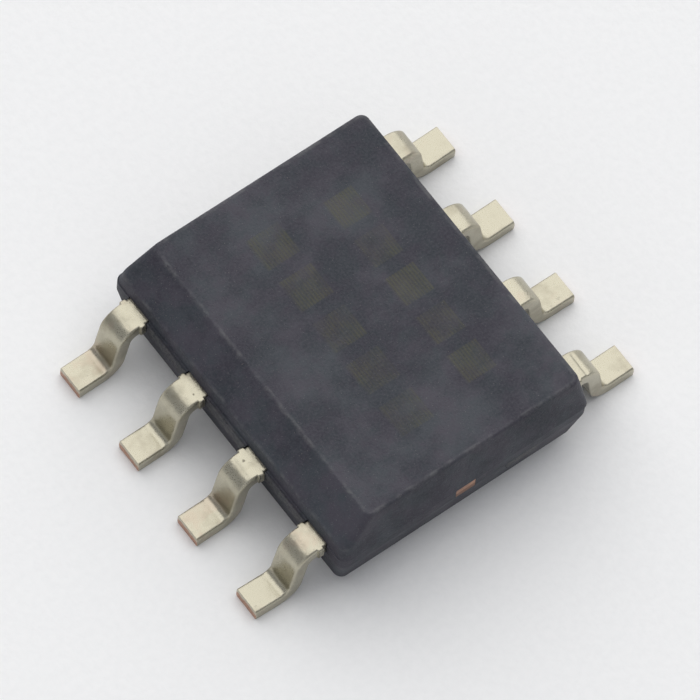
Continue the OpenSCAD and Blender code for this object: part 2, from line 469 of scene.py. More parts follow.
def dish(x, y, radius, depth, around=72):
    """A tool for a shallow dish in the underside, with a softened mouth. It starts below the face."""
    tool = bmesh.new()
    sections = [
        (radius + dish_flare, -dish_start),
        (radius + mouth_round, 0.0),
        (radius, mouth_round),
        (radius - dish_draft, depth),
    ]
    turns = [math.tau * i / around for i in range(around)]
    rings = []
    for r, rise in sections:
        rings.append([
            tool.verts.new((x + r * math.cos(a), y + r * math.sin(a), base_z + rise)) for a in turns
        ])
    skin_rings(tool, rings)
    tool.faces.new(reversed(rings[0]))
    tool.faces.new(rings[-1])
    return tool


ejector_radius = 0.45
ejector_depth = 0.03
ejector_y = 1.2
dishes = [dish(0, y, ejector_radius, ejector_depth) for y in (-ejector_y, ejector_y)]
print("dishes:", len(dishes), "of", 2 * ejector_radius, "mm")

# %% [markdown]
# ## Pockets for the metal
#
# The leads don't grow out of the resin. Each stands in a pocket with a hair of a gap, where
# the joint opened as the lead was bent, and the two tie bars end in pockets in the end walls.
# The pockets could be drawn into the rings, but a plain box for each is far simpler. Each box
# reaches past the wall, because a tool that ends flush with a face cuts badly.

# %% Where resin is cut
joint_gap = 0.005
pocket_depth = 0.22
tool_overshoot = 0.2
tie_bar_half = 0.15


def pocket_reach(side, face):
    """Where a pocket starts and ends along its axis, from inside the body to beyond the face."""
    return sorted((side * (face - pocket_depth), side * (face + tool_overshoot)))


pocket_z = (lead_bottom - joint_gap, lead_top + joint_gap)
cut = []
for side in (-1, 1):
    x_low, x_high = pocket_reach(side, side_x)
    half = strip_width / 2 + joint_gap
    for y in row_ys:
        cut.append(plain_box((x_low, y - half, pocket_z[0]), (x_high, y + half, pocket_z[1])))
for end in (-1, 1):
    y_low, y_high = pocket_reach(end, end_y)
    half = tie_bar_half + joint_gap
    cut.append(plain_box((-half, y_low, pocket_z[0]), (half, y_high, pocket_z[1])))
cut += dishes
print("cutting tools:", len(cut))

# %% [markdown]
# ## Joining and cutting
#
# Two Boolean modifiers add the rough blocks and cut the pockets. The exact solver is slower
# than the fast one, but it copes with faces that lie on one another. The tools of each kind
# are joined first, so that it runs only twice. Each modifier is applied at once, because the
# next step works on the mesh that it gives.

# %% Helpers for joining and cutting
def join(parts, name):
    """One mesh from several bmeshes, which are freed."""
    whole = bmesh.new()
    for part in parts:
        scratch = bpy.data.meshes.new("scratch")
        part.to_mesh(scratch)
        part.free()
        whole.from_mesh(scratch)
        bpy.data.meshes.remove(scratch)
    bmesh.ops.recalc_face_normals(whole, faces=whole.faces[:])
    mesh = bpy.data.meshes.new(name)
    whole.to_mesh(mesh)
    whole.free()
    return mesh


def apply_modifiers(piece):
    """Replaces a piece's mesh by the mesh that its modifiers give."""
    graph = bpy.context.evaluated_depsgraph_get()
    baked = bpy.data.meshes.new_from_object(piece.evaluated_get(graph))
    piece.modifiers.clear()
    piece.data = baked


def boolean(piece, tool_mesh, operation):
    """Adds or cuts with a tool, which is then removed."""
    tool = bpy.data.objects.new("tool", tool_mesh)
    bpy.context.scene.collection.objects.link(tool)
    step = piece.modifiers.new(operation, "BOOLEAN")
    step.object = tool
    step.operation = operation
    step.solver = "EXACT"
    apply_modifiers(piece)
    bpy.data.objects.remove(tool)
    bpy.data.meshes.remove(tool_mesh)


body_piece = bpy.data.objects.new("moulded_body", join([body_bmesh], "moulded_body"))
bpy.context.scene.collection.objects.link(body_piece)
boolean(body_piece, join(added, "added"), "UNION")
boolean(body_piece, join(cut, "cut"), "DIFFERENCE")
print("body faces after the cuts:", len(body_piece.data.polygons))

# %% [markdown]
# ## Mending the cuts, and shading
#
# Where a cut runs close to a point, it leaves slivers and points that hold nothing, and these
# show as dark flecks in a smooth skin. Merging by distance alone leaves some of them, so the
# thin faces are dissolved too, and then the points that only two edges meet. Weighted normals
# keep the flat walls flat and the small rounds smooth where they meet.

# %% One resin body
def weld_slivers(mesh, closest=0.0005):
    """Mends a cut mesh, merging what is nearer than half a micron, and returns its open edges."""
    tidy = bmesh.new()
    tidy.from_mesh(mesh)
    bmesh.ops.dissolve_degenerate(tidy, dist=closest, edges=tidy.edges[:])
    bmesh.ops.remove_doubles(tidy, verts=tidy.verts[:], dist=closest)
    bmesh.ops.triangulate(tidy, faces=[face for face in tidy.faces if len(face.verts) > 4])
    bmesh.ops.dissolve_degenerate(tidy, dist=closest, edges=tidy.edges[:])
    spare = [vertex for vertex in tidy.verts if len(vertex.link_edges) == 2]
    bmesh.ops.dissolve_verts(tidy, verts=spare)
    open_edges = sum(not edge.is_manifold for edge in tidy.edges)
    tidy.to_mesh(mesh)
    tidy.free()
    return open_edges


def soft_shading(piece, sharp_degrees=40):
    """Smooth shading, with edges sharper than an angle kept crisp."""
    piece.data.shade_smooth()
    piece.data.set_sharp_from_angle(angle=math.radians(sharp_degrees))
    normals = piece.modifiers.new("weighted_normals", "WEIGHTED_NORMAL")
    normals.keep_sharp = True
    apply_modifiers(piece)


print("open edges after the cuts:", weld_slivers(body_piece.data))
body_piece.data.transform(Matrix.Scale(MM, 4))
soft_shading(body_piece)
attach(body_piece, "root")
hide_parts("mould_body")
print("body faces:", len(body_piece.data.polygons))

# %% [markdown]
# ## The path of a lead
#
# A lead is a flat strip, bent twice. It could be a box with a simple-deform modifier, but two
# bends of a given radius are easier to walk. The strip's middle line is followed in short
# steps: along the finger in the resin, over the shoulder, round the first bend, down the leg,
# round the second bend and out along the foot. Short steps on the bends keep them round.

# %% Walk along the strip
bend_radius = 0.13 + strip_thickness / 2
leg_slope = math.radians(80)
shoulder = 0.14
finger_tip = lead_low.x
toe = lead_high.x
level = lead_top - strip_thickness / 2
leg_drop = level - strip_thickness / 2 - 2 * bend_radius * (1 - math.cos(leg_slope))
leg_length = leg_drop / math.sin(leg_slope)
foot_start = side_x + shoulder + 2 * bend_radius * math.sin(leg_slope) + leg_length * math.cos(leg_slope)
straight = side_x + shoulder - finger_tip
crisp = 0.004
head_length = 0.32
head_chamfer = 0.08
stub_start = side_x + resin_ledge - finger_tip
stub_length = 0.08


def lead_path(step=0.0115):
    """Stations of the middle line: (distance, x, z, slope down)."""
    marks = [0, head_chamfer, head_length - head_chamfer, head_length - crisp, head_length + crisp]
    for edge in (stub_start, stub_start + stub_length):
        marks += [edge - crisp, edge + crisp]
    marks.append(straight)
    runs = [(b - a, 0) for a, b in zip(marks, marks[1:])]
    runs += [
        (bend_radius * leg_slope, leg_slope),
        (leg_length, 0),
        (bend_radius * leg_slope, -leg_slope),
        (toe - foot_start, 0),
    ]
    x, z, slope, along = finger_tip, level, 0.0, 0.0
    stations = [(along, x, z, slope)]
    for length, turn in runs:
        count = max(1, math.ceil(length / step))
        for _ in range(count):
            half = turn / count / 2
            stride = length / count * (math.sin(half) / half if half else 1)
            slope += half
            x += stride * math.cos(slope)
            z -= stride * math.sin(slope)
            slope += half
            along += length / count
            stations.append((along, x, z, slope))
    return stations


path = lead_path()
path_length = path[-1][0]
print("lead: foot", round(toe - foot_start, 3), "mm, strip", round(path_length, 3), "mm long")

# %% [markdown]
# ## The outline of the strip
#
# Seen from above, the strip is not one width. In the resin it has a wide head with cut corners,
# which locks it in place. Just outside, two small stubs are left of the dam bar, which
# held the leads together while the resin was poured. The width could be cut with Booleans. As a
# function of the distance along the strip it costs nothing, and noise can tear the stubs. The
# strip is also stretched a little thinner round each bend.

# %% Width and thickness along the strip
head_half = 0.31
stub_width = 0.03
thinned_share = 0.05
thinned_reach = 0.12
bend_middles = [
    straight + bend_radius * leg_slope / 2,
    straight + bend_radius * leg_slope * 1.5 + leg_length,
]


def half_width(along, edge, torn):
    """Half the strip's width on one side: the locking head, the neck, the dam-bar stub, the rest."""
    if along < head_length:
        cut_in = max(head_chamfer - along, along - (head_length - head_chamfer), 0)
        return head_half - cut_in
    middle = stub_start + stub_length / 2
    in_stub = 1 - smooth_step(stub_length / 2 - crisp, stub_length / 2 + crisp, abs(along - middle))
    ragged = 0.95 + 0.25 * noise.noise(Vector((along * 25, torn, edge)))
    return strip_width / 2 + stub_width * in_stub * ragged


def thinning(along):
    """Share of the thickness that is left: a little less at the middle of each bend."""
    return 1 - thinned_share * sum(math.exp(-(((along - m) / thinned_reach) ** 2)) for m in bend_middles)


print("thinnest:", round(strip_thickness * thinning(bend_middles[0]), 4), "mm")

# %% [markdown]
# ## The section of a lead
#
# A punch comes down on the strip from above. It rolls the upper edges over and leaves the
# lower ones nearly sharp, and plating then softens all four. A bevel modifier could round the
# edges, but only all alike. So the section is drawn as a rectangle with a large radius above
# and a small one below, always with the same count of points.

# %% Section of the strip at one station
top_round = 0.034
bottom_round = 0.014
round_steps = 4


def section(left, right, thickness, flat_steps=14, edge_steps=4):
    """Points (across, up) of the strip's section, anticlockwise seen from the toe."""
    half = thickness / 2
    corners = [
        (right, -half, bottom_round, 270),
        (right, half, top_round, 0),
        (-left, half, top_round, 90),
        (-left, -half, bottom_round, 180),
    ]
    arcs = []
    for across, up, radius, first in corners:
        centre_x = across - math.copysign(radius, across)
        centre_y = up - math.copysign(radius, up)
        turns = [math.radians(first + 90 * i / round_steps) for i in range(round_steps + 1)]
        arcs.append([(centre_x + radius * math.cos(t), centre_y + radius * math.sin(t)) for t in turns])
    points = []
    for arc, following, steps in zip(arcs, arcs[1:] + arcs[:1], (edge_steps, flat_steps) * 2):
        (x1, y1), (x2, y2) = arc[-1], following[0]
        points += arc
        points += [(x1 + (x2 - x1) * i / steps, y1 + (y2 - y1) * i / steps) for i in range(1, steps)]
    return points


print("points in a section:", len(section(strip_width / 2, strip_width / 2, strip_thickness)))

# %% [markdown]
# ## Marks of the bending tool
#
# The tool that folds the leads presses a line across the start of the first bend. On most
# leads it hardly shows, and on one it is deep and dark. A bump in the material would do for the
# faint ones, but a deep line changes the outline too. So it is pressed into the mesh, and with it
# come shallow waves over the upper face.

# %% Height of the upper face
tool_mark_at = straight + 0.075
tool_mark_width = 0.016
tool_mark_slant = 0.02
mark_fade = 0.05
wave_height = 0.0015
waves_per_mm = 8


def tool_mark(along, across, depth, reach):
    """Depth of the line that the bending tool pressed across the start of the first bend."""
    off_line = along - tool_mark_at - tool_mark_slant * across
    in_line = math.exp(-((off_line / tool_mark_width) ** 2))
    begins = smooth_step(-reach - mark_fade, -reach, across)
    return depth * in_line * begins * (1 - smooth_step(0.13, 0.19, across))


def surface_height(along, across, up, own):
    """Height of a point over the strip's middle. Only the upper face has waves and the mark."""
    if up <= 0:
        return up
    wave = wave_height * noise.noise(Vector((along * waves_per_mm, across * waves_per_mm, own.torn)))
    wave -= tool_mark(along, across, own.pressed, own.pressed_reach)
    return up + wave


print("pressed line", round(tool_mark_at - straight, 3), "mm into the first bend")

# %% [markdown]
# ## Eight leads, no two the same
#
# Eight copies of one lead would look stamped out by a computer. Each lead draws its own small
# differences from a seeded generator, so that they are the same in every run: how the dam bar
# tore, how the toe was sheared, how far the lead was knocked sideways and lengthened in
# the feeder, and how hard the tool pressed.

# %% The differences of one lead
deep_mark = 0.013
marked_lead = 5


def own_differences(number):
    """The small differences of one lead, in millimetres."""
    draw = random.Random(400 + number)
    return SimpleNamespace(
        torn=draw.uniform(0, 50),
        shear_lean=draw.uniform(-0.012, 0.012),
        sway=draw.uniform(-0.014, 0.014),
        stretch=draw.uniform(-0.010, 0.002),
        pressed=deep_mark if number == marked_lead else draw.uniform(0.0005, 0.003),
        pressed_reach=draw.uniform(0.05, 0.20),
    )


print("sideways, in mm:", [round(own_differences(number).sway, 4) for number in range(1, 9)])

# %% [markdown]
# ## Loft a lead
#
# At each station of the path the section is set square to the slope and turned into a ring of
# vertices, and the rings are joined as the body's were. A curve with a bevel object
# could do it too, but not with a width that changes so sharply. The toe is closed by a narrow
# soft lip round a flat end. It is the one place on a lead where bare copper shows, so its
# faces carry a material of their own.

# %% Rings, toe and mesh
corner_lean = 0.14
lean_blend = 0.02
sheared_length = 0.1
toe_round = 0.012
toe_bulge = 0.004
left_edge = 1
right_edge = 7


def lead_rings(mesh, number, own):
    """Rings of vertices along the strip, from the finger's tip in the resin to the toe."""
    side = -1 if number <= 4 else 1
    y = row_ys[(number - 1) % 4]
    lean = -math.copysign(corner_lean, y) if abs(y) > pitch else 0
    rings = []
    for along, x, z, slope in path:
        outside = max(0, x - side_x - shoulder) / (toe - side_x - shoulder)
        shift = lean * (1 - smooth_step(head_length - lean_blend, head_length + lean_blend, along))
        shift += own.sway * outside**2
        left = half_width(along, left_edge, own.torn)
        right = half_width(along, right_edge, own.torn)
        to_toe = max(0, 1 - (path_length - along) / sheared_length)
        rings.append([])
        for across, up in section(left, right, strip_thickness * thinning(along)):
            skew = own.shear_lean * to_toe * up / strip_thickness * 2
            above = surface_height(along, across, up, own)
            rings[-1].append(mesh.verts.new((
                side * (x + own.stretch * outside**2 + above * math.sin(slope) - abs(skew)),
                side * (y + shift + across),
                z + above * math.cos(slope),
            )))
    return rings


def close_toe(mesh, toe_ring):
    """A soft lip and a flat end, both of the second material."""
    middle = sum((v.co for v in toe_ring), Vector()) / len(toe_ring)
    bulge = Vector((math.copysign(toe_bulge, middle.x), 0, 0))
    inner = []
    for v in toe_ring:
        towards = middle - v.co
        towards.x = 0
        inner.append(mesh.verts.new(v.co + towards.normalized() * toe_round + bulge))
    for face in skin_rings(mesh, [toe_ring, inner]) + [mesh.faces.new(inner)]:
        face.material_index = 1


def lead_mesh(number):
    mesh = bmesh.new()
    rings = lead_rings(mesh, number, own_differences(number))
    skin_rings(mesh, rings)
    mesh.faces.new(rings[0])
    close_toe(mesh, rings[-1])
    bmesh.ops.recalc_face_normals(mesh, faces=mesh.faces[:])
    data = bpy.data.meshes.new(f"formed_lead_{number}")
    mesh.to_mesh(data)
    mesh.free()
    return data


formed_leads = {}
for number in range(1, 9):
    piece = object_from_mm(f"formed_lead_{number}", lead_mesh(number))
    soft_shading(piece)
    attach(piece, "root")
    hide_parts(f"lead_{number}")
    formed_leads[number] = piece
print("lead faces:", len(formed_leads[1].data.polygons))

# %% [markdown]
# ## A short way to write materials
#
# Every finish below is a network of nodes that reads the object's own coordinates, so it
# stays on the surface whatever the view. Written out node by node, such a network is long and
# hard to follow. A small class keeps it readable: each method adds one node and hands back its
# output. This first part makes the material and wires it up.

# %% A material under construction
class Network:
    """A node material with a Principled shader. Fixed values are set on the shader's sockets."""

    def __init__(self, name, **fixed):
        self.material = bpy.data.materials.new(name)
        self.material.use_nodes = True
        self.tree = self.material.node_tree
        self.tree.nodes.clear()
        self.shader = self.add("ShaderNodeBsdfPrincipled")
        output = self.add("ShaderNodeOutputMaterial")
        self.link(self.shader.outputs["BSDF"], output.inputs["Surface"])
        for socket, value in fixed.items():
            self.shader.inputs[socket.replace("_", " ")].default_value = value
        self.place = self.add("ShaderNodeTexCoord").outputs["Object"]

    def add(self, kind, **settings):
        made = self.tree.nodes.new(kind)
        for name, value in settings.items():
            setattr(made, name, value)
        return made

    def link(self, source, target):
        self.tree.links.new(source, target)

    def put(self, source, socket):
        self.link(source, self.shader.inputs[socket])

    def fill(self, made, inputs):
        """Links or sets each input of a node."""
        for key, value in inputs.items():
            if isinstance(value, bpy.types.NodeSocket):
                self.link(value, made.inputs[key])
            else:
                made.inputs[key].default_value = value


print("a material starts with", len(Network("trial").tree.nodes), "nodes")
bpy.data.materials.remove(bpy.data.materials["trial"])

# %% [markdown]
# ## Patterns, masks and relief
#
# The second part adds what finishes are made of. Noise and cells give the patterns, and their
# scale is written as lumps a millimetre, as a maker would measure them. A spread or a window
# turns a pattern or a coordinate into a mask, and a bump turns it into relief of a depth in
# millimetres.

# %% The patterns of a finish
class Finish(Network):
    """A material whose patterns are measured in millimetres."""

    def noise(self, per_mm, detail=2.0, roughness=0.5):
        """Smooth noise with per_mm lumps a millimetre, which may be one number for each axis."""
        made = self.add("ShaderNodeTexNoise")
        where, scale = self.place, 1 / MM
        if isinstance(per_mm, tuple):
            mapping = self.add("ShaderNodeMapping")
            self.fill(mapping, {"Vector": self.place, "Scale": per_mm})
            where = mapping.outputs["Vector"]
        else:
            scale = per_mm / MM
        self.fill(made, {"Vector": where, "Scale": scale, "Detail": detail, "Roughness": roughness})
        return made.outputs["Fac"]

    def cells(self, per_mm):
        """Distance to the nearest of per_mm points a millimetre, in cells."""
        made = self.add("ShaderNodeTexVoronoi")
        self.fill(made, {"Vector": self.place, "Scale": per_mm / MM})
        return made.outputs["Distance"]

    def axis(self, letter):
        split = self.add("ShaderNodeSeparateXYZ")
        self.link(self.place, split.inputs[0])
        return split.outputs[letter]

    def math(self, operation, a, b=0.0, c=0.0):
        made = self.add("ShaderNodeMath", operation=operation)
        self.fill(made, {0: a, 1: b, 2: c})
        return made.outputs[0]

    def mix(self, share, a, b):
        made = self.add("ShaderNodeMix", data_type="RGBA")
        self.fill(made, {0: share, 6: a, 7: b})
        return made.outputs[2]

    def spread(self, value, low, high, to_low=0.0, to_high=1.0):
        """A smooth climb from to_low to to_high while the value goes from low to high."""
        made = self.add("ShaderNodeMapRange", interpolation_type="SMOOTHSTEP")
        limits = {"From Min": low, "From Max": high, "To Min": to_low, "To Max": to_high}
        self.fill(made, {"Value": value, **limits})
        return made.outputs["Result"]

    def window(self, value, low, high, blur):
        """1 between low and high, falling to 0 over blur outside them."""
        rise = self.spread(value, low - blur, low)
        fall = self.spread(value, high, high + blur, 1.0, 0.0)
        return self.math("MULTIPLY", rise, fall)

    def frayed(self, distance, pattern, reach_mm):
        """A distance moved by up to reach_mm, by half of it on average, so that a mask frays."""
        return self.math("MULTIPLY_ADD", pattern, reach_mm * MM, distance)

    def bump(self, height, depth_mm, under=None):
        """Relief of a depth in millimetres, laid over another one."""
        made = self.add("ShaderNodeBump")
        self.fill(made, {"Height": height, "Distance": depth_mm * MM, "Strength": 1.0})
        if under:
            self.link(under, made.inputs["Normal"])
        return made.outputs["Normal"]


print("patterns:", ", ".join(name for name in vars(Finish) if not name.startswith("_")))

# %% [markdown]
# ## Black moulding resin
#
# The resin is four fifths ground silica in black epoxy, and the mould's cavities are
# spark-eroded, so the skin is matt with a fine even tooth. One noise could make it, but it
# would look like paint. Three scales look like resin: a slow clouding where it flowed, a tooth
# of about 30 microns in the bump, and a sprinkle of pale silica grains just under the skin. A
# black this deep shows what film of wax the mould left on it, so its hue wanders between
# violet and teal.

# %% The resin's finish
violet_deep = (0.0212, 0.0182, 0.0310, 1)
violet_pale = (0.0420, 0.0367, 0.0535, 1)
teal_deep = (0.0150, 0.0200, 0.0290, 1)
teal_pale = (0.0315, 0.0397, 0.0510, 1)
tooth_tone = (0.050, 0.0522, 0.0665, 1)
silica = (0.30, 0.29, 0.27, 1)

resin = Finish("mould_resin", Metallic=0.0, IOR=1.52)
clouding = resin.noise(0.9, detail=7.0, roughness=0.70)
tooth = resin.noise(30, detail=3.0, roughness=0.65)
pits = resin.spread(resin.cells(24), 0.08, 0.36)
grains = resin.spread(resin.noise(55, detail=1.0), 0.70, 0.76)
flow = resin.spread(clouding, 0.38, 0.64)
violet = resin.mix(flow, violet_deep, violet_pale)
teal = resin.mix(flow, teal_deep, teal_pale)
hue = resin.spread(resin.noise(2.4, detail=5.0, roughness=0.68), 0.38, 0.62)
dark = resin.mix(hue, violet, teal)
toothed = resin.mix(resin.spread(tooth, 0.35, 0.7, 0.0, 0.55), dark, tooth_tone)
grained = resin.mix(resin.math("MULTIPLY", grains, 0.30), toothed, silica)
print("resin nodes so far:", len(resin.tree.nodes))

# %% [markdown]
# ## The place of the laser mark
#
# Such chips carry two lines of laser mark that run along the body, scorched a faint olive
# brown. Here two rows of plain bars stand in for them. They could be an image or thin meshes,
# but a laser leaves no thickness, and an image has an end to its sharpness. A laser fills a shape
# with fine parallel passes, so each bar is a mask in the object's coordinates times a wave 45
# microns long.

# %% Two rows of plain bars
scorched = (0.060, 0.0595, 0.025, 1)
pass_pitch = 0.045
whole_pitches = 10
across = resin.axis("X")
along_body = resin.axis("Y")


def bar_row(middle_mm, half_height_mm, length_mm, pitch_mm, count):
    """A row of equal bars along Y, centred on the body."""
    # Whole pitches are added before the modulo, because below zero it would run backwards.
    half_row_mm = count * pitch_mm / 2
    low, high = middle_mm - half_height_mm, middle_mm + half_height_mm
    line = resin.window(across, low * MM, high * MM, 0.03 * MM)
    span = resin.window(along_body, -half_row_mm * MM, half_row_mm * MM, 0.01 * MM)
    shifted = resin.math("ADD", along_body, (half_row_mm + whole_pitches * pitch_mm) * MM)
    beat = resin.math("MODULO", shifted, pitch_mm * MM)
    low, high = (pitch_mm - length_mm) / 2, (pitch_mm + length_mm) / 2
    bars = resin.window(beat, low * MM, high * MM, 0.02 * MM)
    return resin.math("MULTIPLY", resin.math("MULTIPLY", line, span), bars)


first_row = bar_row(middle_mm=-0.22, half_height_mm=0.24, length_mm=0.48, pitch_mm=0.71, count=5)
second_row = bar_row(middle_mm=0.88, half_height_mm=0.21, length_mm=0.44, pitch_mm=0.66, count=5)
rows = resin.math("ADD", first_row, second_row)
on_top = resin.spread(resin.axis("Z"), (top_z - 0.02) * MM, (top_z - 0.004) * MM)
wave = resin.math("SINE", resin.math("MULTIPLY", across, math.tau / (pass_pitch * MM)))
passes = resin.spread(wave, -0.6, 0.8, 0.45, 1.0)
worn = resin.spread(resin.noise(1.6, detail=6.0, roughness=0.75), 0.38, 0.62, 0.2, 1.0)
mark = resin.math("MULTIPLY", resin.math("MULTIPLY", rows, on_top), resin.math("MULTIPLY", worn, passes))
marked = resin.mix(resin.math("MULTIPLY", mark, 0.62), grained, scorched)
print("resin nodes with the marks:", len(resin.tree.nodes))

# %% [markdown]
# ## Wear and a painted highlight on the edges
#
# Where chips rub in the feeder, the edges go pale, and the same pale colour also serves as a
# painted highlight along the rims. The Bevel node could find the edges while rendering, but it
# is slow and is lost on export. The nearness that was kept in the mesh does the same for
# nothing, and noise breaks the pale line up into patches. The skin also shines a little more
# where the resin flowed pale, and where the laser melted it.

# %% Scuffed edges with a painted rim highlight, and sheen
rim_wear_and_highlight = (0.115, 0.115, 0.12, 1)
edges = resin.add("ShaderNodeAttribute", attribute_name="edge_nearness").outputs["Fac"]
patchy = resin.spread(resin.noise(4, detail=4.0, roughness=0.7), 0.42, 0.66, 0.06, 1.0)
# Paler edges: partly wear, partly a painted highlight along the rims.
scuffed_and_highlit = resin.math("MULTIPLY", edges, patchy)
edge_worn_and_highlit = resin.mix(resin.math("MULTIPLY", scuffed_and_highlit, 0.55), marked, rim_wear_and_highlight)
roughness = resin.spread(clouding, 0.36, 0.66, 0.72, 0.58)
resin.put(resin.math("SUBTRACT", roughness, resin.math("MULTIPLY", mark, 0.06)), "Roughness")
print("resin nodes with the wear:", len(resin.tree.nodes))

# %% [markdown]
# ## Fresh breaks
#
# Where resin was cut or snapped it isn't smooth skin any more. The punched ledges between the
# leads and the stump of the gate show the broken silica inside, paler and coarser. Faces with a
# second material would end in a hard line. So both places are found from the object's
# coordinates, beyond the side wall and at the gate, and noise frays the gate's outline.

# %% Where the breaks are
fray_across = 0.16
fray_up = 0.09
inset_across = 0.03
inset_up = 0.015
gate_across = resin.frayed(across, resin.noise(9, detail=4.0), fray_across)
gate_up = resin.frayed(resin.axis("Z"), resin.noise(12, detail=3.0), fray_up)
left = gate_x[0] + fray_across / 2 + inset_across
right = gate_x[1] + fray_across / 2 - inset_across
low = lead_bottom - gate_height + fray_up / 2 + inset_up
high = lead_bottom + fray_up / 2 - inset_up
at_gate = resin.math(
    "MULTIPLY",
    resin.window(gate_across, left * MM, right * MM, 0.02 * MM),
    resin.window(gate_up, low * MM, high * MM, 0.015 * MM),
)
at_end = resin.spread(along_body, (0.1 - end_y) * MM, (0.12 - end_y) * MM, 1.0, 0.0)
gate_face = resin.math("MULTIPLY", at_gate, at_end)
beyond_wall = resin.spread(resin.math("ABSOLUTE", across), (side_x + 0.012) * MM, (side_x + 0.024) * MM)
print("gate, from x", round(left, 3), "to", round(right, 3), "mm before fraying")

# %% [markdown]
# ## Pale breaks with a painted highlight, and the resin's relief
#
# A punch tears coarsely and a snap breaks finely, so each has a noise of its own. It drives both
# the colour and the bump, so the raised grains are also painted paler, as a painted highlight
# over the broken silica's own paler tone. The bumps are chained: each lies over the one before,
# from the tooth of the whole skin to the breaks.

# %% Pale the breaks, paint a highlight on their raised grains, and finish the relief
broken_silica_and_highlight = (0.125, 0.124, 0.12, 1)
punched = resin.noise(26, detail=4.0, roughness=0.75)
snapped = resin.noise(48, detail=4.0, roughness=0.7)
# Raised grains are painted paler: a painted highlight over the broken silica's own tone.
ledge_pale_and_highlit = resin.math("MULTIPLY", beyond_wall, resin.spread(punched, 0.38, 0.62, 0.05, 0.50))
gate_pale_and_highlit = resin.math("MULTIPLY", gate_face, resin.spread(snapped, 0.34, 0.64, 0.22, 0.62))
pale_break_and_highlight = resin.math("MAXIMUM", ledge_pale_and_highlit, gate_pale_and_highlit)
resin.put(resin.mix(pale_break_and_highlight, edge_worn_and_highlit, broken_silica_and_highlight), "Base Color")
relief = resin.bump(tooth, 0.006)
relief = resin.bump(pits, 0.0022, relief)
relief = resin.bump(resin.math("MULTIPLY", punched, beyond_wall), 0.024, relief)
relief = resin.bump(resin.math("MULTIPLY", snapped, gate_face), 0.018, relief)
resin.put(relief, "Normal")
body_piece.data.materials.append(resin.material)
print("resin nodes in all:", len(resin.tree.nodes))

# %% [markdown]
# ## Tin plating
#
# Matt tin goes on electrically, after the dam bars are cut. It grows in grains of a few
# microns, so it shines with a soft, slightly warm and milky glow. A plain rough metal looks like
# plastic. What makes it tin is that its colour, shine and relief all follow the same
# crystals. The tools drag fine lines along the lead, tarnish dulls it in patches, and here and
# there the layer is thin and the copper under it shows as a faint blush.

# %% The tin's finish
clean_tin = (0.465, 0.437, 0.342, 1)
tarnished_tin = (0.355, 0.325, 0.247, 1)
crystal_tin = (0.575, 0.547, 0.452, 1)
copper_blush = (0.475, 0.385, 0.305, 1)
dull_speck = (0.30, 0.28, 0.23, 1)

tin = Finish("tin_plating", Metallic=1.0, IOR=1.5)
orange_peel = tin.noise(11, detail=3.0, roughness=0.55)
crystals = tin.noise(70, detail=2.0, roughness=0.6)
drag_lines = tin.noise((4, 90, 12))
tarnish = tin.spread(tin.noise(2.6, detail=4.0, roughness=0.6), 0.45, 0.72)
bright_tin = tin.mix(tarnish, clean_tin, tarnished_tin)
sparkling = tin.mix(tin.spread(crystals, 0.35, 0.7, 0.0, 0.30), bright_tin, crystal_tin)
blush = tin.spread(tin.noise(1.7, detail=4.0, roughness=0.65), 0.54, 0.68, 0.0, 0.45)
blushing = tin.mix(blush, sparkling, copper_blush)
specks = tin.spread(tin.noise(17, detail=1.0), 0.22, 0.28, 0.45, 0.0)
speckled = tin.mix(specks, blushing, dull_speck)
milky = tin.spread(crystals, 0.3, 0.7, 0.25, 0.37)
tin.put(tin.math("ADD", milky, tin.math("MULTIPLY", tarnish, 0.08)), "Roughness")
tin_relief = tin.bump(orange_peel, 0.004)
tin_relief = tin.bump(drag_lines, 0.0016, tin_relief)
tin_relief = tin.bump(crystals, 0.0010, tin_relief)
tin.put(tin_relief, "Normal")
print("tin nodes so far:", len(tin.tree.nodes))

# %% [markdown]
# ## Resin bleed and specks of dirt
#
# A little epoxy creeps out of the mould along each lead and stains its shoulder, and two
# shoulders carry a small dark speck. The stain could be painted on the mesh, but a mask on
# the distance from the middle of the chip serves all eight leads at once, and noise makes its
# edge wander. A speck is a mask on the distance from a point, seen from above.

# %% Stain the shoulders
bleed_tone = (0.10, 0.095, 0.085, 1)
dirt_tone = (0.12, 0.11, 0.085, 1)
from_middle = tin.math("ABSOLUTE", tin.axis("X"))
creep = tin.frayed(from_middle, tin.noise(14, detail=3.0), -0.05)
bleed = tin.spread(creep, (side_x - 0.022) * MM, (side_x - 0.008) * MM, 1.0, 0.0)
stained = tin.mix(tin.math("MULTIPLY", bleed, 0.75), speckled, bleed_tone)


def fleck(x_mm, y_mm, radius_mm):
    """1 inside a small ragged spot, seen from above."""
    aside = tin.math("SUBTRACT", tin.axis("X"), x_mm * MM)
    onward = tin.math("SUBTRACT", tin.axis("Y"), y_mm * MM)
    squares = [tin.math("MULTIPLY", distance, distance) for distance in (aside, onward)]
    away = tin.math("SQRT", tin.math("ADD", *squares))
    ragged = tin.frayed(away, tin.noise(42, detail=3.0), 1.6 * radius_mm)
    return tin.spread(ragged, 1.3 * radius_mm * MM, 1.7 * radius_mm * MM, 1.0, 0.0)


on_lead_3 = fleck(x_mm=-side_x - 0.16, y_mm=row_ys[1] + 0.07, radius_mm=0.028)
on_lead_2 = fleck(x_mm=-side_x - 0.13, y_mm=row_ys[2] - 0.09, radius_mm=0.018)
dirt = tin.math("MAXIMUM", on_lead_3, on_lead_2)
tin.put(tin.mix(tin.math("MULTIPLY", dirt, 0.8), stained, dirt_tone), "Base Color")
print("tin nodes in all:", len(tin.tree.nodes))

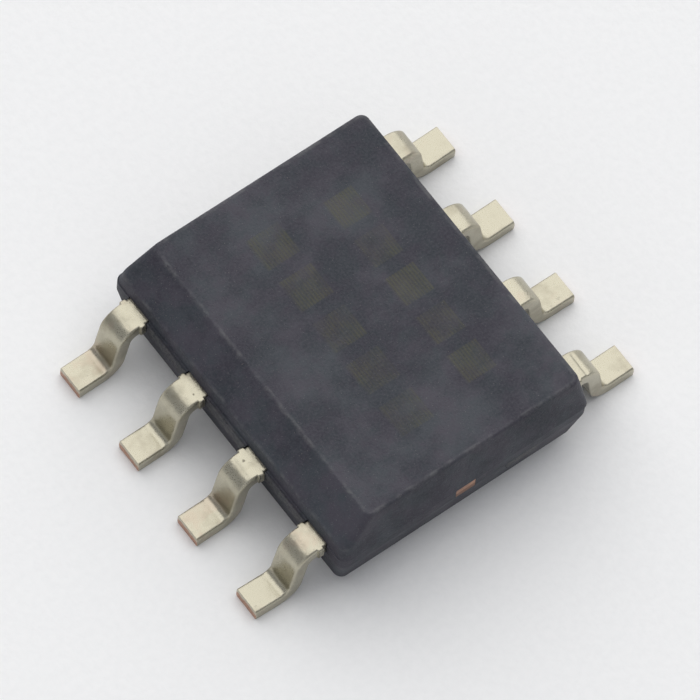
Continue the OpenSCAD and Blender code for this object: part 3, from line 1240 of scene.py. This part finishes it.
# %% [markdown]
# ## The sheared toe
#
# The toes are cut last, so they are bare. A shear burnishes the upper part, and drags tin down
# over it, and then the rest breaks off dull and grainy. Two flat materials would meet in a
# straight line. Here the height in the object's coordinates tells one zone from the other, and
# long upright smears make the line between them wander.

# %% The toe's finish
dull_copper = (0.38, 0.215, 0.15, 1)
bright_copper = (0.60, 0.385, 0.285, 1)
dragged_tin = (0.50, 0.468, 0.37, 1)
smear_reach = 0.12
shear_line = 0.127
line_half = 0.015

sheared = Finish("sheared_copper", Metallic=1.0, IOR=1.5)
smears = sheared.noise((3, 13, 3), detail=3.0, roughness=0.5)
height = sheared.frayed(sheared.axis("Z"), smears, smear_reach)
line = shear_line + smear_reach / 2
burnished = sheared.spread(height, (line - line_half) * MM, (line + line_half) * MM)
broken = sheared.noise(45, detail=3.0, roughness=0.7)
copper = sheared.mix(sheared.spread(broken, 0.3, 0.7), dull_copper, bright_copper)
sheared.put(sheared.mix(burnished, copper, dragged_tin), "Base Color")
sheared.put(sheared.spread(burnished, 0.0, 1.0, 0.50, 0.28), "Roughness")
streaks = sheared.noise((60, 60, 5))
sheared.put(sheared.bump(broken, 0.004, sheared.bump(streaks, 0.003)), "Normal")
for piece in formed_leads.values():
    piece.data.materials.append(tin.material)
    piece.data.materials.append(sheared.material)
print("leads with tin and a bare toe:", len(formed_leads))

# %% [markdown]
# ## The copper of the frame
#
# The paddle, the glue, the die and the gold wires stay the CAD nodes that they are, because
# their shapes are already right, and only their materials are replaced. Of the copper, only
# the cut ends of the two tie bars show. Like the toes they are part sheared and part torn, so
# their lower half gets a coarse dark grain and the rest keeps the lines of the rolling mill.

# %% Rolled and torn copper
def finish_nodes(finish, slot, names):
    """Gives a finish to CAD nodes, in place of the material they came with."""
    for name in names:
        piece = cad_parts[name]
        piece.data.materials.clear()
        piece.data.materials.append(finish.material)
    print(slot, "on", len(names), "node(s)")


rolled_dark = (0.30, 0.17, 0.12, 1)
rolled_pale = (0.48, 0.29, 0.20, 1)
torn_dark = (0.13, 0.075, 0.055, 1)
torn_pale = (0.36, 0.205, 0.145, 1)
wavy_reach = 0.10
tear_line = 0.09
tear_half = 0.01

strip = Finish("frame_copper", Metallic=1.0, IOR=1.5)
rolled = strip.noise((70, 6, 40), detail=3.0)
copper_tone = strip.noise(8, detail=3.0)
plain_copper = strip.mix(strip.spread(copper_tone, 0.3, 0.7), rolled_dark, rolled_pale)
height = strip.frayed(strip.axis("Z"), strip.noise((9, 9, 3)), wavy_reach)
line = lead_bottom + tear_line + wavy_reach / 2
torn_share = strip.spread(height, (line - tear_half) * MM, (line + tear_half) * MM, 1.0, 0.0)
from_middle = strip.math("ABSOLUTE", strip.axis("Y"))
at_cut = strip.spread(from_middle, (end_y - 0.02) * MM, (end_y - 0.01) * MM)
torn_end = strip.math("MULTIPLY", torn_share, at_cut)
torn_grain = strip.noise(40, detail=3.0, roughness=0.7)
torn_copper = strip.mix(torn_grain, torn_dark, torn_pale)
strip.put(strip.mix(torn_end, plain_copper, torn_copper), "Base Color")
strip.put(strip.spread(copper_tone, 0.3, 0.7, 0.36, 0.5), "Roughness")
copper_relief = strip.bump(rolled, 0.003)
copper_relief = strip.bump(strip.math("MULTIPLY", torn_grain, torn_end), 0.010, copper_relief)
strip.put(copper_relief, "Normal")
finish_nodes(strip, "frame_copper", ["die_paddle"])

# %% [markdown]
# ## Glue, silicon and gold
#
# These are hidden by the resin, and get their finish for anyone who takes the body away. The
# glue is epoxy full of silver flakes. The die is polished silicon under a pattern of circuit
# blocks, for which a brick texture is the simplest stand-in. The wires are drawn gold, with a
# little variation in colour and shine along them.

# %% What the resin hides
glue = Finish("silver_glue", Metallic=0.3, IOR=1.5)
flakes = glue.noise(60, detail=2.0)
glue.put(glue.mix(flakes, (0.42, 0.43, 0.45, 1), (0.72, 0.73, 0.75, 1)), "Base Color")
glue.put(glue.spread(flakes, 0.3, 0.7, 0.45, 0.65), "Roughness")
glue.put(glue.bump(flakes, 0.002), "Normal")
finish_nodes(glue, "silver_glue", ["die_attach"])

silicon = Finish("silicon", Metallic=0.4, IOR=3.4)
circuit = silicon.add("ShaderNodeTexBrick")
silicon.fill(circuit, {
    "Vector": silicon.place,
    "Scale": 9 / MM,
    "Color1": (0.20, 0.22, 0.32, 1),
    "Color2": (0.30, 0.27, 0.34, 1),
    "Mortar": (0.42, 0.40, 0.36, 1),
})
silicon.put(circuit.outputs["Color"], "Base Color")
silicon.put(silicon.spread(silicon.noise(12), 0.3, 0.7, 0.12, 0.2), "Roughness")
finish_nodes(silicon, "silicon", ["silicon_die"])

gold = Finish("gold_wire", Metallic=1.0, IOR=1.5)
drawn = gold.noise(40, detail=2.0)
gold.put(gold.mix(drawn, (0.78, 0.55, 0.17, 1), (0.92, 0.72, 0.30, 1)), "Base Color")
gold.put(gold.spread(drawn, 0.3, 0.7, 0.18, 0.30), "Roughness")
gold.put(gold.bump(drawn, 0.0005), "Normal")
finish_nodes(gold, "gold_wire", [f"bond_wire_{n}" for n in range(1, 9)])

# %% [markdown]
# ## A pale floor
#
# The chip stands on a sheet of white card. A plain white plane would look like nothing at all.
# A faint grain in the card gives the eye something to measure the chip against, and it takes
# the soft shadow that seats the feet. The sheet lies a hair below the feet, so that the two
# don't flicker where they meet.

# %% Floor
floor_half = 400.0
floor_gap = 0.002
card_mesh = bpy.data.meshes.new("floor")
sheet = bmesh.new()
below_feet = Matrix.Translation((0, 0, -floor_gap))
bmesh.ops.create_grid(sheet, x_segments=8, y_segments=8, size=floor_half, matrix=below_feet)
sheet.to_mesh(card_mesh)
sheet.free()
floor = object_from_mm("floor", card_mesh)
card = Finish("white_card", IOR=1.4, Roughness=0.9, Specular_IOR_Level=0.1)
fibres = card.noise(9, detail=4.0, roughness=0.6)
card_tone = card.mix(card.spread(fibres, 0.3, 0.7), (0.905, 0.907, 0.910, 1), (0.925, 0.926, 0.928, 1))
card.put(card_tone, "Base Color")
card.put(card.bump(fibres, 0.006), "Normal")
card_mesh.materials.append(card.material)
print("floor:", round(2 * floor_half * MM, 2), "m wide")

# %% [markdown]
# ## Light
#
# Tin is a soft mirror, so it looks like what it reflects. One large soft lamp stands above and
# beyond the chip, where every level face of tin mirrors it, as in a light tent. Small lamps
# would leave hot spots and black tin between them. A weaker lamp fills in from the bevelled
# side, and a plain world keeps the rest from going black. The lamps are kept at a plain level,
# at which a colour renders about as it is written.

# %% Lamps and world
def soft_lamp(name, direction, distance, size, brightness, colour=(1, 1, 1)):
    """A square lamp, in metres, that looks at the origin. A brightness of 1 looks plain white."""
    lamp = bpy.data.lights.new(name, "AREA")
    lamp.size = size
    lamp.energy = brightness * math.pi * size**2
    lamp.color = colour
    holder = bpy.data.objects.new(name, lamp)
    bpy.context.scene.collection.objects.link(holder)
    towards = Vector(direction).normalized()
    holder.location = towards * distance
    holder.rotation_euler = towards.to_track_quat("Z", "Y").to_euler()
    print(name, round(lamp.energy, 2), "W")


soft_lamp("tent_top", (0.32, 0.50, 0.80), distance=0.50, size=1.10, brightness=1.22,
          colour=(1.0, 0.99, 0.97))
soft_lamp("fill_left", (-0.9, -0.3, 0.45), distance=0.60, size=0.30, brightness=0.50,
          colour=(0.95, 0.97, 1.0))
world = bpy.data.worlds.new("studio")
world.use_nodes = True
background = world.node_tree.nodes["Background"]
background.inputs["Color"].default_value = (0.93, 0.95, 1.0, 1)
background.inputs["Strength"].default_value = 0.38
bpy.context.scene.world = world
bpy.context.scene.view_settings.view_transform = "Standard"

# %% [markdown]
# ## Camera
#
# So small a thing is taken from some way off with a long lens, which flattens it. Here the
# camera stands 15 cm away, and its lens is worked out from the width that it has to show. It
# looks down steeply from the bevelled side's near corner, and it is rolled a little, so that
# the rows of leads climb to the left. Euler angles would hide that, so the camera is aimed by
# two directions instead: one towards it, and one for the right of the view.

# %% Aim the camera
camera_distance = 0.15
view_width = 8.9 * MM
towards_camera = Vector((-0.298, -0.321, 0.900)).normalized()
rightwards = Vector((0.803, -0.594, 0.054))
rightwards = (rightwards - towards_camera * rightwards.dot(towards_camera)).normalized()
upwards = towards_camera.cross(rightwards)
aim = Vector((0.0, 0.0, top_z * MM * 0.45))

lens = bpy.data.cameras.new("camera")
lens.sensor_width = 36.0
lens.lens = lens.sensor_width * camera_distance / view_width
lens.clip_start = 0.005
lens.clip_end = 10.0
camera = bpy.data.objects.new("camera", lens)
bpy.context.scene.collection.objects.link(camera)
turn = Matrix((rightwards, upwards, towards_camera)).transposed().to_4x4()
camera.matrix_world = Matrix.Translation(aim + towards_camera * camera_distance) @ turn
bpy.context.scene.camera = camera
print("lens", round(lens.lens), "mm, elevation", round(math.degrees(math.asin(towards_camera.z)), 1))

# %% [markdown]
